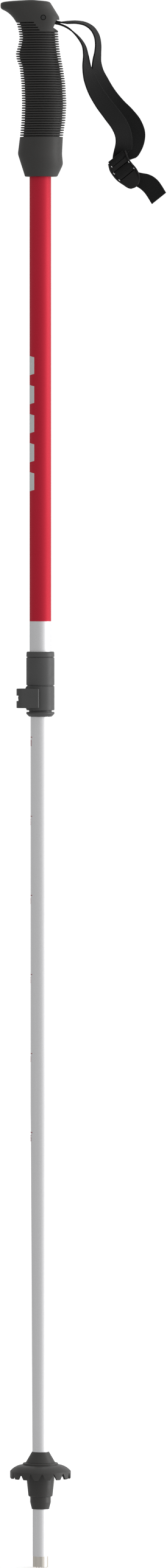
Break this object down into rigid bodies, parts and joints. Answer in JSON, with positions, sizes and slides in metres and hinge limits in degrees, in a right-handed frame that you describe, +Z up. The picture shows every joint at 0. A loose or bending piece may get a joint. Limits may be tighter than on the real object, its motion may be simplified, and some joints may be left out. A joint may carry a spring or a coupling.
{
  "type": "ski pole",
  "caption": "Telescopic junior ski pole with ribbed grip, webbing wrist strap, lever lock, toothed snow basket and steel crown tip.",
  "frame": {"origin": "lower end of the steel tip, on the shaft axis, with the lock set to about 101 cm", "axes": "+Z up the shaft to the grip, +X to the side the wrist strap hangs on, hook of the grip to -X"},
  "size_m": [0.1044, 0.0384, 0.9903],
  "materials": {
    "grip_rubber": "satin",
    "hard_plastic": "matte",
    "webbing": "woven",
    "painted_tube": "gloss",
    "bare_tube": "satin",
    "lock_plastic": "matte",
    "lever_plastic": "satin",
    "buckle_plastic": "satin",
    "basket_plastic": "matte",
    "dark_steel": "brushed",
    "bright_steel": "brushed",
    "tip_steel": "brushed"
  },
  "bodies": {
    "handle": {"grip_body": "grip_rubber", "grip_core": "hard_plastic", "strap_pin": "dark_steel", "strap_anchor_loop": "webbing", "upper_shaft": "painted_tube", "shaft_top_plug": "hard_plastic", "lock_top_ring": "lock_plastic", "lock_sleeve": "lock_plastic", "lock_clamp_body": "lock_plastic", "lock_bush": "lock_plastic", "lock_wear_plate": "bright_steel", "lock_barrel_nut": "bright_steel", "lock_screw_washer": "bright_steel"},
    "lever": {"lock_lever": "lever_plastic"},
    "screw": {"lock_tension_screw": "dark_steel"},
    "strap": {"strap_front_strand": "webbing", "strap_rear_strand": "webbing", "strap_tail": "webbing", "strap_buckle": "buckle_plastic"},
    "lower_section": {"lower_shaft": "bare_tube", "lower_guide_plug": "hard_plastic", "basket_ferrule": "basket_plastic", "snow_basket": "basket_plastic", "tip_crown": "tip_steel"}
  },
  "joints": [
    {"name": "shaft_slide", "type": "slide", "parent": "handle", "child": "lower_section", "axis": [0, 0, 1], "range_m": [-0.037, 0.262]},
    {"name": "lever_hinge", "type": "hinge", "parent": "handle", "child": "lever", "pos_m": [-0.0112, -0.0072, 0.55015], "axis": [0, 0, -1], "range_deg": [0, 110]},
    {"name": "screw_turn", "type": "hinge", "parent": "handle", "child": "screw", "pos_m": [-0.0112, 0, 0.55015], "axis": [0, 1, 0], "continuous": true},
    {"name": "strap_swing", "type": "hinge", "parent": "handle", "child": "strap", "pos_m": [0.014, 0, 0.9755], "axis": [0, -1, 0], "range_deg": [-14, 75]}
  ]
}
